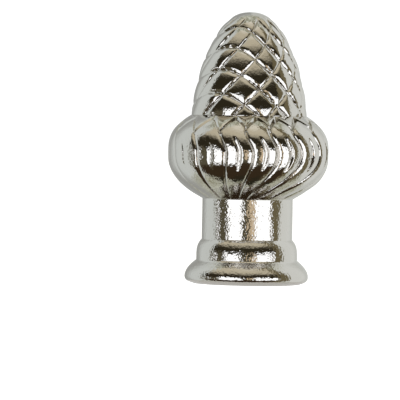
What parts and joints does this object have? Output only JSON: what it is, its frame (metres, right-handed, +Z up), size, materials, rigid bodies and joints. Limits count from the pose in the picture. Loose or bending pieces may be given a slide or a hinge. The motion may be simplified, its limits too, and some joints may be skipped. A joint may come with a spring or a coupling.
{
  "type": "acorn finial",
  "caption": "Nickel-plated cast acorn finial with a lattice-cut nut, a lobed cup, a plain neck and a flared foot with a blind screw hole.",
  "frame": {"origin": "centre of the flat underside of the foot", "axes": "+Z up along the turned axis, towards the tip of the acorn; -Y is the side seen in the picture"},
  "size_m": [0.044, 0.0444, 0.075],
  "materials": {
    "nickel_plate": "bright nickel plate over a slightly pebbled casting"
  },
  "bodies": {
    "root": {"acorn_finial": "nickel_plate"}
  },
  "joints": []
}
